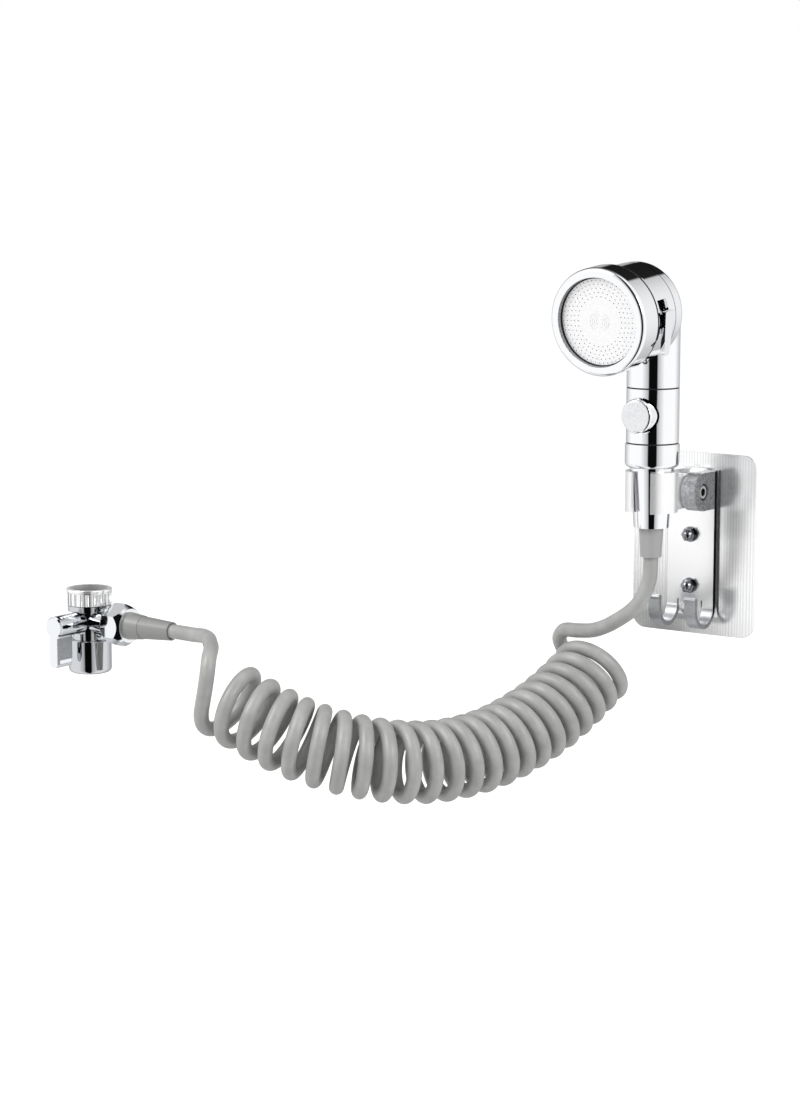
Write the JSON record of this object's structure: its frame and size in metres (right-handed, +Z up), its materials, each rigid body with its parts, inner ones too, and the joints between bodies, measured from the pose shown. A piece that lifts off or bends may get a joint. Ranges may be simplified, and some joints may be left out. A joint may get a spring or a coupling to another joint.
{
  "type": "handheld bath sprayer",
  "caption": "Handheld sprayer with stop button and mode lever in a tilting wall clamp, a curly hose and a lever-operated tap diverter.",
  "frame": {"origin": "middle of the adhesive sheet's back face, on the wall", "axes": "+Y goes into the wall, +Z is up and +X is to the right of someone facing the wall"},
  "size_m": [0.3512, 0.2379, 0.2906],
  "materials": {
    "brushed_film": "satin",
    "stainless": "polished",
    "bracket_aluminium": "satin",
    "pivot_steel": "polished",
    "white_washer": "satin",
    "satin_clamp": "satin",
    "plated_abs": "polished",
    "chromed_brass": "polished",
    "bare_brass": "satin",
    "steel_spool": "satin",
    "black_rubber": "matte",
    "spray_face": "satin",
    "white_plastic": "satin",
    "grey_hose": "satin"
  },
  "bodies": {
    "wall_and_hose": {"adhesive_sheet": "brushed_film", "wall_studs": "stainless", "holder_bracket": "bracket_aluminium", "stud_washers": "stainless", "acorn_nuts": "stainless", "pivot_screw": "pivot_steel", "pivot_nut": "pivot_steel", "friction_washers": "white_washer", "hose_lead_handset": "grey_hose", "hose_coil": "grey_hose", "hose_lead_tap": "grey_hose", "tap_sleeve": "grey_hose", "tap_tail": "bare_brass", "diverter_body": "chromed_brass", "ball_seats": "white_washer", "stem_seals": "black_rubber", "outlet_cup": "chromed_brass", "aerator": "white_plastic", "union_washer": "black_rubber", "tap_washer": "black_rubber"},
    "clamp": {"holder_clamp": "satin_clamp"},
    "hose_end": {"handset_sleeve": "grey_hose", "handset_tail": "bare_brass"},
    "handset": {"cone_nut": "plated_abs", "hose_washer": "black_rubber", "handle_collar": "plated_abs", "inlet_screen": "steel_spool", "seam_gaskets": "black_rubber", "button_body": "plated_abs", "button_spring": "steel_spool", "head_body": "plated_abs", "mode_housing": "plated_abs", "lever_ring": "plated_abs", "bezel_seal": "black_rubber", "flow_disc": "white_washer", "plate_gasket": "black_rubber", "face_bezel": "plated_abs", "spray_plate": "spray_face"},
    "button": {"stop_button": "plated_abs", "button_spool": "steel_spool", "spool_seals": "black_rubber"},
    "mode_selector": {"mode_lever": "plated_abs", "mode_disc": "white_washer"},
    "diverter_handle": {"diverter_lever": "chromed_brass", "lever_stem": "chromed_brass", "diverter_ball": "chromed_brass"},
    "tap_nut": {"swivel_nut": "chromed_brass"},
    "hose_nut": {"union_nut": "chromed_brass"}
  },
  "joints": [
    {"name": "clamp_tilt", "type": "hinge", "parent": "wall_and_hose", "child": "clamp", "pos_m": [0, -0.0165, 0.0314], "axis": [1, 0, 0], "range_deg": [-8, 30], "deforming": ["hose_lead_handset"]},
    {"name": "handset_lift", "type": "slide", "parent": "clamp", "child": "hose_end", "axis": [0, 0, 1], "range_m": [0, 0.04], "deforming": ["hose_lead_handset"]},
    {"name": "handset_swivel", "type": "hinge", "parent": "hose_end", "child": "handset", "pos_m": [0, -0.048, 0], "axis": [0, 0, 1], "range_deg": [-90, 90]},
    {"name": "stop_button", "type": "slide", "parent": "handset", "child": "button", "axis": [0, 1, 0], "range_m": [0, 0.0031], "stiffness_N_per_m": 1200, "springref_m": -0.002, "deforming": ["button_spring"]},
    {"name": "mode_lever_turn", "type": "hinge", "parent": "handset", "child": "mode_selector", "pos_m": [0, -0.048, 0.136], "axis": [0, -0.9945, -0.1045], "range_deg": [0, 20]},
    {"name": "diverter_turn", "type": "hinge", "parent": "wall_and_hose", "child": "diverter_handle", "pos_m": [-0.299, -0.175, -0.05], "axis": [0, 1, 0], "range_deg": [0, 90]},
    {"name": "tap_nut_turn", "type": "hinge", "parent": "wall_and_hose", "child": "tap_nut", "pos_m": [-0.299, -0.175, -0.035], "axis": [0, 0, 1], "continuous": true},
    {"name": "hose_nut_turn", "type": "hinge", "parent": "wall_and_hose", "child": "hose_nut", "pos_m": [-0.276, -0.175, -0.05], "axis": [1, 0, 0], "continuous": true}
  ]
}
